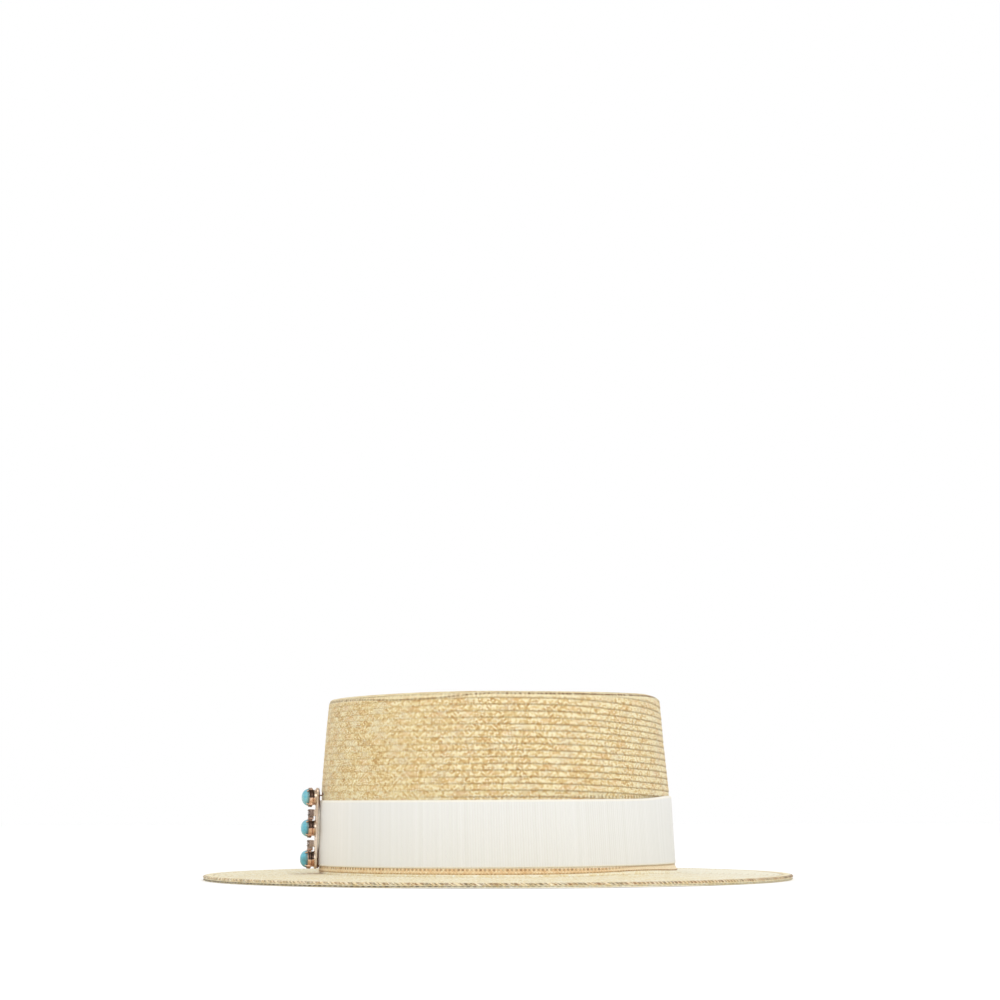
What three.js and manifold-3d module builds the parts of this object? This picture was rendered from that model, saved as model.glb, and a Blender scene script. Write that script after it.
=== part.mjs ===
// A straw boater: a low oval crown with a flat top, a level brim, a ribbon band and a brooch on the front.
// Millimetres, +Z up. The origin is on the surface that the brim rests on, under the middle of the brim.
// The front of the hat faces -Y and its long axis lies along Y.
import * as THREE from "three";
import { mergeVertices } from "three/addons/utils/BufferGeometryUtils.js";
import Module from "manifold-3d";

const wasm = await Module();
wasm.setup();

// Head opening, measured inside the straw at the crown's foot, and the clearance between touching pieces.
const HEAD_LENGTH = 198;
const HEAD_WIDTH = 165;
const CLEARANCE = 0.25;

// Crown: a wall of sewn braid that leans in towards the top, and more at the back than at the front.
const CROWN_HEIGHT = 102.5;
const STRAW = 2;
const TOP_INSET = 6.4;
const TOP_LEAN = 2.5;
const SHOULDER_RADIUS = 3;

// Brim: a level ring whose last row of braid is doubled, and which rises a little towards the crown.
const BRIM_WIDTH = 65.4;
const BRIM_THICKNESS = 2.2;
const BRIM_LIFT = 0.4;
const BRIM_RISE = 0.8;
const EDGE_THICKNESS = 2.8;
const EDGE_ROW = 6;
const EDGE_ROUND = 0.9;
const FOLD_RADIUS = 3.5;
const FOLD_VARIATION = 2;
const JOIN_ABOVE_BAND_FOOT = 1.3;
const COLLAR_STRAIGHT = 0.4;

// Ribbon band: one height all round, a little higher at the back, with a ripple in its upper edge.
const BAND_FOOT = 9;
const BAND_HEIGHT = 35.4;
const BAND_THICKNESS = 1;
const BAND_TILT = 0.5;
const RIPPLE_ANGLE = 1.15;
const RIPPLE_SPREAD = 0.3;
const RIPPLE_RISE = 1.1;
const RIPPLE_STAND = 0.7;

// Brooch: three round cabochons and two small square settings between them, on one straight bar that runs
// past both edges of the band.
const STONE_RADIUS = 4.75;
const STONE_DOME = 4;
const STONE_GIRDLE = 1.2;
const CUP_WALL = 0.4;
const CUP_DEPTH = 4;
const CUP_FOOT_RADIUS = 4.5;
const CLAW_RADIUS = 0.4;
const CLAW_HEIGHT = 1.2;
const SETTING_SIDE = 3.9;
const SETTING_DEPTH = 3.4;
const CRYSTAL_RADIUS = 1.35;
const CRYSTAL_TABLE = 0.85;
const CRYSTAL_CROWN = 0.55;
const CRYSTAL_GIRDLE = 0.15;
const CRYSTAL_PAVILION = 1.1;
const BAR_WIDTH = 4.6;
const BAR_THICKNESS = 1.4;
const BAR_ABOVE_BAND = 6.6;
const BAR_BELOW_BAND = 2.8;
const PIN_DIAMETER = 0.7;
const CATCH_THICKNESS = 0.8;
const CATCH_SIDE = 2;
const CATCH_ABOVE_BAND = 2.4;
const CATCH_UPTURN = 1.6;
const HINGE_SIDE = 1.6;
const WELD = 0.3;

// How finely the round shapes are cut.
const OVAL_STEPS = 80;
const ARC_STEPS = 4;
const STONE_SIDES = 20;
const FACET_SIDES = 8;

// Worked out from the sizes above.
const HALF_LENGTH = HEAD_LENGTH / 2 + STRAW;
const HALF_WIDTH = HEAD_WIDTH / 2 + STRAW;
const SHOULDER_HEIGHT = CROWN_HEIGHT - SHOULDER_RADIUS;
const JOIN_HEIGHT = BAND_FOOT + JOIN_ABOVE_BAND_FOOT;
const BRIM_TOP = BRIM_LIFT + BRIM_RISE + BRIM_THICKNESS;
const BAND_STAND = CLEARANCE + BAND_THICKNESS;
const RECESS_RADIUS = STONE_RADIUS + CLEARANCE;
const CUP_RADIUS = RECESS_RADIUS + CUP_WALL;
const PIN_SPACE = PIN_DIAMETER + 2 * CLEARANCE;
const BAR_LENGTH = BAND_HEIGHT + BAR_ABOVE_BAND + BAR_BELOW_BAND;
const BAR_MIDDLE = BAND_FOOT - BAR_BELOW_BAND + BAR_LENGTH / 2;
const STONE_PITCH = BAR_LENGTH / 2 - CUP_RADIUS;

// How the crown's wall goes from its foot to its shoulder, each column a share of a size named above:
// height of CROWN_HEIGHT, inset of TOP_INSET, lean (towards the front) of TOP_LEAN.
const WALL = [
  { height: 0, inset: 0, lean: 0.36 },
  { height: 0.09, inset: 0.05, lean: 0.42 },
  { height: 0.43, inset: 0.3, lean: 0.8 },
  { height: 0.5, inset: 0.35, lean: 0.84 },
  { height: 0.74, inset: 0.69, lean: 1 },
  { height: 1, inset: 1.03, lean: 1 },
];

// The wall's outer face at a height: how far in from the foot's oval, and how far its centre is forward.
function wallAt(height) {
  const share = THREE.MathUtils.clamp(height / CROWN_HEIGHT, 0, 1);
  const above = WALL.findIndex((row) => row.height >= share && row.height > 0);
  const [low, high] = [WALL[above - 1], WALL[above]];
  const along = (share - low.height) / (high.height - low.height);
  return {
    offset: -TOP_INSET * THREE.MathUtils.lerp(low.inset, high.inset, along),
    lean: -TOP_LEAN * THREE.MathUtils.lerp(low.lean, high.lean, along),
  };
}

// A point of a section on the wall: outward is its distance out of the wall's outer face.
function onWall(height, outward = 0, lift = 0) {
  const wall = wallAt(height);
  return { offset: wall.offset + outward, height: height + lift, lean: wall.lean };
}

// Heights from low to high that keep every bend of the wall between them.
function wallHeights(low, high) {
  const bends = WALL.map((row) => row.height * CROWN_HEIGHT).filter((height) => height > low && height < high);
  return [low, ...bends, high];
}

// Points of an arc in a section, about a centre, from one angle to another.
function arc(offset, height, lean, radius, from, to) {
  return Array.from({ length: ARC_STEPS + 1 }, (_, step) => {
    const angle = THREE.MathUtils.lerp(from, to, step / ARC_STEPS);
    return { offset: offset + radius * Math.cos(angle), height: height + radius * Math.sin(angle), lean };
  });
}

// Sweeps a section round the oval. Each section starts and ends on the axis or closes on itself, and an
// offset grows or shrinks the foot's oval by the same amount all round.
function ovalBody(sectionAt) {
  const outline = sectionAt(0).map((point) => new THREE.Vector2(HALF_WIDTH + point.offset, point.height));
  const geometry = new THREE.LatheGeometry(outline, OVAL_STEPS);
  const position = geometry.getAttribute("position");
  for (let step = 0; step <= OVAL_STEPS; step += 1) {
    const angle = (2 * Math.PI * (step % OVAL_STEPS)) / OVAL_STEPS;
    sectionAt(angle).forEach((point, index) => {
      const x = (HALF_WIDTH + point.offset) * Math.cos(angle);
      const y = (HALF_LENGTH + point.offset) * Math.sin(angle) + point.lean;
      position.setXYZ(step * outline.length + index, x, y, point.height);
    });
  }
  geometry.computeVertexNormals();
  return geometry;
}

// The crown is a hollow shell: flat top, rounded shoulder and a wall that stops where the brim's collar starts.
function crownSection() {
  const inner = wallHeights(JOIN_HEIGHT + CLEARANCE, SHOULDER_HEIGHT).reverse();
  const outer = wallHeights(JOIN_HEIGHT + CLEARANCE, SHOULDER_HEIGHT);
  const shoulder = wallAt(SHOULDER_HEIGHT);
  const centre = shoulder.offset - SHOULDER_RADIUS;
  const innerRadius = Math.max(SHOULDER_RADIUS - STRAW, CLEARANCE);
  const innerCentre = shoulder.offset - STRAW - innerRadius;
  const innerHeight = CROWN_HEIGHT - STRAW - innerRadius;
  return [
    { offset: -HALF_WIDTH, height: CROWN_HEIGHT - STRAW, lean: shoulder.lean },
    ...arc(innerCentre, innerHeight, shoulder.lean, innerRadius, Math.PI / 2, 0),
    ...inner.slice(1).map((height) => onWall(height, -STRAW)),
    ...outer.slice(0, -1).map((height) => onWall(height)),
    ...arc(centre, SHOULDER_HEIGHT, shoulder.lean, SHOULDER_RADIUS, 0, Math.PI / 2),
    { offset: -HALF_WIDTH, height: CROWN_HEIGHT, lean: shoulder.lean },
  ];
}

// The brim is a ring with a doubled edge row, and its inner edge turns up into a short collar. The fold is
// tighter at the front and wider at the back.
function brimSection(angle) {
  const roomForFold = JOIN_HEIGHT - BRIM_TOP - COLLAR_STRAIGHT;
  const fold = Math.min(FOLD_RADIUS + FOLD_VARIATION * Math.sin(angle), roomForFold);
  const foot = wallAt(BRIM_TOP + fold);
  const edge = BRIM_WIDTH - EDGE_ROUND;
  const rowStart = BRIM_WIDTH - EDGE_ROW;
  const sheetTop = BRIM_LIFT + BRIM_THICKNESS;
  const quarter = Math.PI / 2;
  return [
    ...arc(edge, EDGE_ROUND, 0, EDGE_ROUND, -quarter, 0),
    ...arc(edge, EDGE_THICKNESS - EDGE_ROUND, 0, EDGE_ROUND, 0, quarter),
    { offset: rowStart, height: EDGE_THICKNESS, lean: 0 },
    { offset: rowStart - BRIM_LIFT, height: sheetTop, lean: 0 },
    ...arc(foot.offset + fold, BRIM_TOP + fold, foot.lean, fold, -quarter, -2 * quarter),
    onWall(JOIN_HEIGHT),
    onWall(JOIN_HEIGHT, -STRAW),
    ...arc(foot.offset + fold, BRIM_TOP + fold, foot.lean, fold + STRAW, -2 * quarter, -quarter),
    { offset: rowStart - BRIM_LIFT, height: BRIM_LIFT, lean: 0 },
    { offset: rowStart, height: 0, lean: 0 },
    { offset: edge, height: 0, lean: 0 },
  ];
}

// How strongly the ripple in the band's upper edge shows at an angle round the oval, from 0 to 1.
function rippleAt(angle) {
  return Math.exp(-(((angle - RIPPLE_ANGLE) / RIPPLE_SPREAD) ** 2));
}

// The band is a strip of ribbon round the foot of the crown's wall.
function bandSection(angle) {
  const tilt = BAND_TILT * Math.sin(angle);
  const heights = wallHeights(BAND_FOOT, BAND_FOOT + BAND_HEIGHT);
  const point = (height, outward) => {
    const share = ((height - BAND_FOOT) / BAND_HEIGHT) ** 2 * rippleAt(angle);
    const from = onWall(height + tilt, outward + RIPPLE_STAND * share);
    return { ...from, height: from.height + RIPPLE_RISE * share };
  };
  const outside = heights.map((height) => point(height, BAND_STAND));
  const inside = heights.map((height) => point(height, CLEARANCE)).reverse();
  return [...outside, ...inside, outside[0]];
}

// A solid for joining and cutting, from any closed geometry.
function solidOf(geometry) {
  const bare = geometry.clone();
  bare.deleteAttribute("normal");
  bare.deleteAttribute("uv");
  const merged = mergeVertices(bare, 1e-4);
  const vertProperties = merged.getAttribute("position").array;
  const triVerts = new Uint32Array(merged.index.array);
  return new wasm.Manifold(new wasm.Mesh({ numProp: 3, vertProperties, triVerts }));
}

function geometryOf(solid) {
  const mesh = solid.getMesh();
  const geometry = new THREE.BufferGeometry();
  geometry.setAttribute("position", new THREE.BufferAttribute(new Float32Array(mesh.vertProperties), 3));
  geometry.setIndex(new THREE.BufferAttribute(new Uint32Array(mesh.triVerts), 1));
  geometry.computeVertexNormals();
  return geometry;
}

// A turned shape standing along +Z, from [radius, height] pairs that start and end on the axis.
function turned(profile, sides) {
  const points = profile.map(([radius, height]) => new THREE.Vector2(radius, height));
  return new THREE.LatheGeometry(points, sides).rotateX(Math.PI / 2);
}

// The brooch lies in the XY plane of its own frame: +Y up along the bar, +Z out of the hat, and Z = 0 on the
// bar's back.
function barBody() {
  const round = BAR_WIDTH / 2;
  const straight = BAR_LENGTH / 2 - round;
  const shape = new THREE.Shape();
  shape.absarc(0, straight, round, 0, Math.PI);
  shape.absarc(0, -straight, round, Math.PI, 2 * Math.PI);
  return new THREE.ExtrudeGeometry(shape, { depth: BAR_THICKNESS, bevelEnabled: false, curveSegments: 6 });
}

// A cup with a thin rim round a flat-floored recess.
function cupBody() {
  const floor = CUP_DEPTH - STONE_GIRDLE;
  const profile = [
    [0, -WELD],
    [CUP_FOOT_RADIUS, -WELD],
    [CUP_FOOT_RADIUS, floor - 2 * CUP_WALL],
    [CUP_RADIUS, floor],
    [CUP_RADIUS, CUP_DEPTH],
    [RECESS_RADIUS, CUP_DEPTH],
    [RECESS_RADIUS, floor],
    [0, floor],
  ];
  return turned(profile, STONE_SIDES);
}

function clawBody(quarter) {
  const angle = Math.PI / 4 + (quarter * Math.PI) / 2;
  const height = STONE_GIRDLE + CLAW_HEIGHT;
  const reach = CUP_RADIUS + CLAW_RADIUS / 4;
  const claw = new THREE.CylinderGeometry(CLAW_RADIUS * 0.8, CLAW_RADIUS, height, FACET_SIDES);
  claw.rotateX(Math.PI / 2);
  return claw.translate(reach * Math.cos(angle), reach * Math.sin(angle), CUP_DEPTH - STONE_GIRDLE + height / 2);
}

// A square box setting with a round seat cut into it and a small prong at each corner.
function settingBody() {
  const box = new THREE.BoxGeometry(SETTING_SIDE, SETTING_SIDE, SETTING_DEPTH + WELD);
  box.translate(0, 0, (SETTING_DEPTH - WELD) / 2);
  const seatDepth = CRYSTAL_PAVILION + 2 * CLEARANCE;
  const seat = turned(
    [
      [0, SETTING_DEPTH - seatDepth],
      [CRYSTAL_RADIUS + CLEARANCE, SETTING_DEPTH - CLEARANCE],
      [CRYSTAL_RADIUS + CLEARANCE, SETTING_DEPTH + WELD],
      [0, SETTING_DEPTH + WELD],
    ],
    FACET_SIDES,
  );
  return solidOf(box).subtract(solidOf(seat));
}

function prongBody(quarter) {
  const angle = Math.PI / 4 + (quarter * Math.PI) / 2;
  const height = SETTING_DEPTH + CRYSTAL_CROWN;
  const reach = SETTING_SIDE / Math.SQRT2 - CLAW_RADIUS;
  const prong = new THREE.CylinderGeometry(CLAW_RADIUS * 0.8, CLAW_RADIUS, height, FACET_SIDES);
  prong.rotateX(Math.PI / 2);
  return prong.translate(reach * Math.cos(angle), reach * Math.sin(angle), height / 2);
}

// A catch beside the pin: it goes back from the bar, above the band, and turns up just short of the straw.
function catchBody() {
  const height = (BAND_FOOT + BAND_HEIGHT + CATCH_ABOVE_BAND - BAR_MIDDLE) / Math.cos(broochLean());
  const depth = PIN_SPACE + BAND_STAND - CLEARANCE;
  const arm = new THREE.BoxGeometry(CATCH_THICKNESS, CATCH_THICKNESS, depth + WELD);
  arm.translate(CATCH_SIDE, height, (WELD - depth) / 2);
  const upturn = new THREE.BoxGeometry(CATCH_THICKNESS, CATCH_UPTURN, CATCH_THICKNESS);
  upturn.translate(CATCH_SIDE, height + (CATCH_UPTURN - CATCH_THICKNESS) / 2, CATCH_THICKNESS / 2 - depth);
  return solidOf(arm).add(solidOf(upturn));
}

// The block behind the bar's foot that the pin springs from.
function hingeBody() {
  const depth = PIN_SPACE - CLEARANCE;
  const hinge = new THREE.BoxGeometry(HINGE_SIDE, HINGE_SIDE, depth + WELD);
  return hinge.translate(0, (HINGE_SIDE - BAR_LENGTH) / 2 + CUP_WALL, (WELD - depth) / 2);
}

function frameGeometry() {
  let frame = solidOf(barBody()).add(catchBody()).add(solidOf(hingeBody()));
  for (const place of [-1, 0, 1]) {
    let cup = solidOf(cupBody());
    for (let quarter = 0; quarter < 4; quarter += 1) cup = cup.add(solidOf(clawBody(quarter)));
    frame = frame.add(cup.translate([0, place * STONE_PITCH, BAR_THICKNESS]));
  }
  for (const place of [-0.5, 0.5]) {
    let setting = settingBody();
    for (let quarter = 0; quarter < 4; quarter += 1) setting = setting.add(solidOf(prongBody(quarter)));
    frame = frame.add(setting.translate([0, place * STONE_PITCH, BAR_THICKNESS]));
  }
  return geometryOf(frame);
}

// A cabochon: a short girdle in the cup's recess and a dome above it.
function cabochonGeometry() {
  const girdle = STONE_GIRDLE - CLEARANCE;
  const dome = Array.from({ length: 7 }, (_, step) => {
    const angle = (step / 6) * (Math.PI / 2);
    return [STONE_RADIUS * Math.cos(angle), girdle + STONE_DOME * Math.sin(angle)];
  });
  dome[6][0] = 0;
  return turned([[0, 0], [STONE_RADIUS, 0], ...dome], STONE_SIDES);
}

// A small cut stone with a table, crown facets, a girdle and pavilion facets that meet in a point.
function crystalGeometry() {
  const profile = [
    [0, -CRYSTAL_PAVILION],
    [CRYSTAL_RADIUS, 0],
    [CRYSTAL_RADIUS, CRYSTAL_GIRDLE],
    [CRYSTAL_TABLE, CRYSTAL_GIRDLE + CRYSTAL_CROWN],
    [0, CRYSTAL_GIRDLE + CRYSTAL_CROWN],
  ];
  return turned(profile, FACET_SIDES);
}

// A straight wire behind the bar, from the hinge block up past the catch.
function pinGeometry() {
  const foot = HINGE_SIDE + CUP_WALL + CLEARANCE - BAR_LENGTH / 2;
  const tip = BAR_LENGTH / 2 - CUP_WALL;
  const depth = -PIN_SPACE / 2;
  const path = new THREE.LineCurve3(new THREE.Vector3(0, foot, depth), new THREE.Vector3(0, tip, depth));
  const round = new THREE.Shape().absarc(0, 0, PIN_DIAMETER / 2, 0, 2 * Math.PI);
  return new THREE.ExtrudeGeometry(round, { steps: 1, extrudePath: path, curveSegments: 4 });
}

// The angle that the brooch leans out at its foot, from the wall's slope behind the band.
function broochLean() {
  const foot = wallAt(BAND_FOOT);
  const top = wallAt(BAND_FOOT + BAND_HEIGHT);
  return Math.atan((foot.offset - foot.lean - (top.offset - top.lean)) / BAND_HEIGHT);
}

const materials = {
  straw: new THREE.MeshStandardMaterial({ color: 0xe3cb9c, roughness: 0.7, metalness: 0 }),
  brimStraw: new THREE.MeshStandardMaterial({ color: 0xeee2bf, roughness: 0.7, metalness: 0 }),
  ribbon: new THREE.MeshStandardMaterial({ color: 0xece8df, roughness: 0.85, metalness: 0 }),
  roseGold: new THREE.MeshStandardMaterial({ color: 0xc98f6c, roughness: 0.3, metalness: 1 }),
  turquoise: new THREE.MeshStandardMaterial({ color: 0x63bccb, roughness: 0.25, metalness: 0 }),
  crystal: new THREE.MeshStandardMaterial({ color: 0xe6d3d3, roughness: 0.05, metalness: 0 }),
};

function named(name, geometry, material) {
  const mesh = new THREE.Mesh(geometry, material);
  mesh.name = name;
  return mesh;
}

// The brooch's pieces in their own frame.
function brooch() {
  const group = new THREE.Group();
  group.add(named("brooch_frame", frameGeometry(), materials.roseGold));
  group.add(named("brooch_pin", pinGeometry(), materials.roseGold));
  const stones = { turquoise_bottom: -1, turquoise_middle: 0, turquoise_top: 1 };
  for (const [name, place] of Object.entries(stones)) {
    const stone = named(name, cabochonGeometry(), materials.turquoise);
    stone.position.set(0, place * STONE_PITCH, BAR_THICKNESS + CUP_DEPTH - STONE_GIRDLE + CLEARANCE);
    group.add(stone);
  }
  const crystals = { crystal_lower: -0.5, crystal_upper: 0.5 };
  for (const [name, place] of Object.entries(crystals)) {
    const stone = named(name, crystalGeometry(), materials.crystal);
    stone.position.set(0, place * STONE_PITCH, BAR_THICKNESS + SETTING_DEPTH);
    group.add(stone);
  }
  return group;
}

// Stands the brooch upright on the front of the band, its back a pin's space away from the ribbon.
function placedBrooch() {
  const group = brooch();
  const wall = wallAt(BAR_MIDDLE);
  group.position.set(0, wall.lean - HALF_LENGTH - wall.offset - BAND_STAND - PIN_SPACE, BAR_MIDDLE);
  group.rotation.x = Math.PI / 2 - broochLean();
  return group;
}

const hat = new THREE.Group();
hat.add(named("crown", ovalBody(crownSection), materials.straw));
hat.add(named("brim", ovalBody(brimSection), materials.brimStraw));
hat.add(named("hat_band", ovalBody(bandSection), materials.ribbon));
hat.add(placedBrooch());

export default hat;
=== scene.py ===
import math

import bmesh
import bpy
import numpy as np
from mathutils import Matrix, Vector


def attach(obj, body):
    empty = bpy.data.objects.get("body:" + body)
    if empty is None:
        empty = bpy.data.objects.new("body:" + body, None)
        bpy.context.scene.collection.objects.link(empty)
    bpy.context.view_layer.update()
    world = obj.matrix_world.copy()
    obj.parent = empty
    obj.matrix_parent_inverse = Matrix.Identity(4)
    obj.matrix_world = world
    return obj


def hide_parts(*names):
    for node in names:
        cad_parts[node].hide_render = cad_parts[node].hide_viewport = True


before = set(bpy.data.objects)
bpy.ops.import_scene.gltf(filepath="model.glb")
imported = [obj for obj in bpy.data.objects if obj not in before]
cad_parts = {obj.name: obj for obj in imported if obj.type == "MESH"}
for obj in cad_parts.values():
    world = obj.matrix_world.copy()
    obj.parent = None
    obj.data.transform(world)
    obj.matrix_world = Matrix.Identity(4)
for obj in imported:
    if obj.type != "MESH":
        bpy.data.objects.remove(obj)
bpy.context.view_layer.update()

# Lengths are in millimetres until a mesh is made. The hat's front faces -Y and its long axis lies along Y.
MM = 0.001

# The crown's foot, a plain oval, and the wall above it.
HALF_LENGTH = 101.0
HALF_WIDTH = 84.5
CROWN_HEIGHT = 102.5
STRAW = 2.0
TOP_INSET = 6.4
TOP_LEAN = 2.5
SHOULDER_RADIUS = 3.0

# How the crown's top falls to the front and rises at the back.
TIP_DROP = 2.2
TIP_DROP_POWER = 2.5
TIP_RISE = 0.6
TIP_RISE_END = 2.4
TIP_SWAY_HEIGHT = 84.0

# The wall's outer face, as shares of the crown's height, the inset and the lean towards the front.
WALL_HEIGHT = (0, 0.09, 0.43, 0.5, 0.74, 1)
WALL_INSET = (0, 0.05, 0.3, 0.35, 0.69, 1.03)
WALL_LEAN = (0.36, 0.42, 0.8, 0.84, 1, 1)

# The brim and the collar that it turns up into behind the ribbon.
BRIM_WIDTH = 65.4
BRIM_TOP = 3.4
BRIM_EDGE_TOP = 2.6
EDGE_ROW = 6.0
FOLD_RADIUS = 3.5
FOLD_VARIATION = 2.0
COLLAR_MIN = 0.4
JOIN_HEIGHT = 10.3

# The ribbon band, and the ripple in its upper edge towards the back.
BAND_FOOT = 9.0
BAND_HEIGHT = 35.4
BAND_TILT = 0.5
BAND_THICKNESS = 0.8
BAND_GAP = 0.3
BAND_BACK = 0.12
RIPPLE_ANGLE = 1.15
RIPPLE_SPREAD = 0.26
RIPPLE_RISE = 1.6
RIPPLE_STAND = 0.4
RIB_PITCH = 1.31

# One row of sewn straw braid, and how the rows run round the crown.
ROW_PITCH = 3.54
FIRST_LINE = 98.9
FIRST_LINE_ANGLE = math.radians(-12.4)
SEAM_ANGLE = math.pi
DIP_BACK = 3.8
DIP_FRONT = 1.8
DIP_TOP_BACK = 0.5
DIP_TOP_FRONT = 0.3
DIP_TOP_SPREAD = 15.0
DIP_START = 40.0
TOOTH = 2.75
TOOTH_COLUMNS = 3


def smooth(low, high, value):
    """Smoothly from 0 at low to 1 at high."""
    share = np.clip((value - low) / (high - low), 0, 1)
    return share * share * (3 - 2 * share)


def away_from(angle, middle):
    """How far an angle is from another one, the short way round."""
    return np.angle(np.exp(1j * (angle - middle)))


# Meshes from grids of points

def grid_faces(rings, columns, closed=True):
    """Faces of a grid of points, whose last column joins the first one where it is closed."""
    count = columns if closed else columns - 1
    ring, column = np.meshgrid(np.arange(rings - 1), np.arange(count), indexing="ij")
    first = (ring * columns + column).ravel()
    after = (ring * columns + (column + 1) % columns).ravel()
    return np.stack([first, first + columns, after + columns, after], axis=1)


def cell_uvs(left, right, low, high):
    """UVs for the corners of a grid's faces."""
    corners = [(left, low), (left, high), (right, high), (right, low)]
    return np.stack([np.stack(corner, axis=-1) for corner in corners], axis=1)


class Body:
    """Gathers grids of points into one mesh."""

    def __init__(self):
        self.points, self.faces, self.uvs, self.count = [], [], [], 0

    def add(self, points, faces, uvs=None):
        points = np.asarray(points, float).reshape(-1, 3)
        self.points.append(points)
        self.faces.append(faces + self.count)
        self.uvs.append(np.zeros((*faces.shape, 2)) if uvs is None else uvs)
        self.count += len(points)

    def make(self, name, material, replaced, matrix=None, sharp=None):
        points = np.concatenate(self.points) * MM
        faces = np.concatenate(self.faces)
        mesh = bpy.data.meshes.new(name)
        mesh.vertices.add(len(points))
        mesh.vertices.foreach_set("co", points.ravel())
        mesh.loops.add(faces.size)
        mesh.loops.foreach_set("vertex_index", faces.ravel())
        mesh.polygons.add(len(faces))
        mesh.polygons.foreach_set("loop_start", np.arange(0, faces.size, faces.shape[1]))
        layer = mesh.uv_layers.new(name="braid")
        layer.uv.foreach_set("vector", np.concatenate(self.uvs).ravel())
        mesh.update(calc_edges=True)
        if matrix is not None:
            mesh.transform(matrix)
        work = bmesh.new()
        work.from_mesh(mesh)
        bmesh.ops.remove_doubles(work, verts=work.verts, dist=0.001 * MM)
        bmesh.ops.recalc_face_normals(work, faces=work.faces)
        work.to_mesh(mesh)
        work.free()
        mesh.shade_smooth()
        if sharp is not None:
            mesh.set_sharp_from_angle(angle=sharp)
        return place_mesh(name, mesh, material, replaced)


def place_mesh(name, mesh, material, replaced):
    """Puts a finished mesh in the scene as a piece of the hat."""
    mesh.materials.clear()
    mesh.materials.append(material)
    piece = bpy.data.objects.new(name, mesh)
    bpy.context.scene.collection.objects.link(piece)
    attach(piece, "root")
    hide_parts(*replaced)
    return piece


# Node materials, written as arithmetic

def linear(colour):
    """A shader's linear colour from sRGB numbers of 0 to 255."""
    shares = [channel / 255 for channel in colour]
    curve = [share / 12.92 if share <= 0.04045 else ((share + 0.055) / 1.055) ** 2.4 for share in shares]
    return (*curve, 1.0)


class Signal:
    """One number that varies over a surface. Arithmetic on it adds the nodes that work it out."""

    def __init__(self, net, socket):
        self.net, self.socket = net, socket

    def math(self, operation, *others):
        return self.net.signal("Math", enumerate((self, *others)), operation=operation)

    def __add__(self, other):
        return self.math("ADD", other)

    def __sub__(self, other):
        return self.math("SUBTRACT", other)

    def __mul__(self, other):
        return self.math("MULTIPLY", other)

    def __truediv__(self, other):
        return self.math("DIVIDE", other)

    def __neg__(self):
        return self * -1

    def __abs__(self):
        return self.math("ABSOLUTE")

    def floor(self):
        return self.math("FLOOR")

    def fract(self):
        return self.math("FRACT")

    def bump(self):
        """A rounded hump over each whole number."""
        return (self.fract() * math.pi).math("SINE")

    def larger(self, other):
        return self.math("MAXIMUM", other)

    def between(self, low, high):
        """Smoothly from 0 at low to 1 at high."""
        reach = {"Value": self, "From Min": low, "From Max": high}
        return self.net.signal("MapRange", reach, "Result", interpolation_type="SMOOTHSTEP")

    def band(self, start, full, fade, end):
        """Smoothly from 0 at start to 1 at full, and from 1 at fade to 0 at end."""
        return self.between(start, full) * self.between(end, fade)

    def mix(self, low, high):
        """A number from low to high as this one goes from 0 to 1."""
        return self.net.signal("Mix", {0: self, 2: low, 3: high}, data_type="FLOAT")


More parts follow.
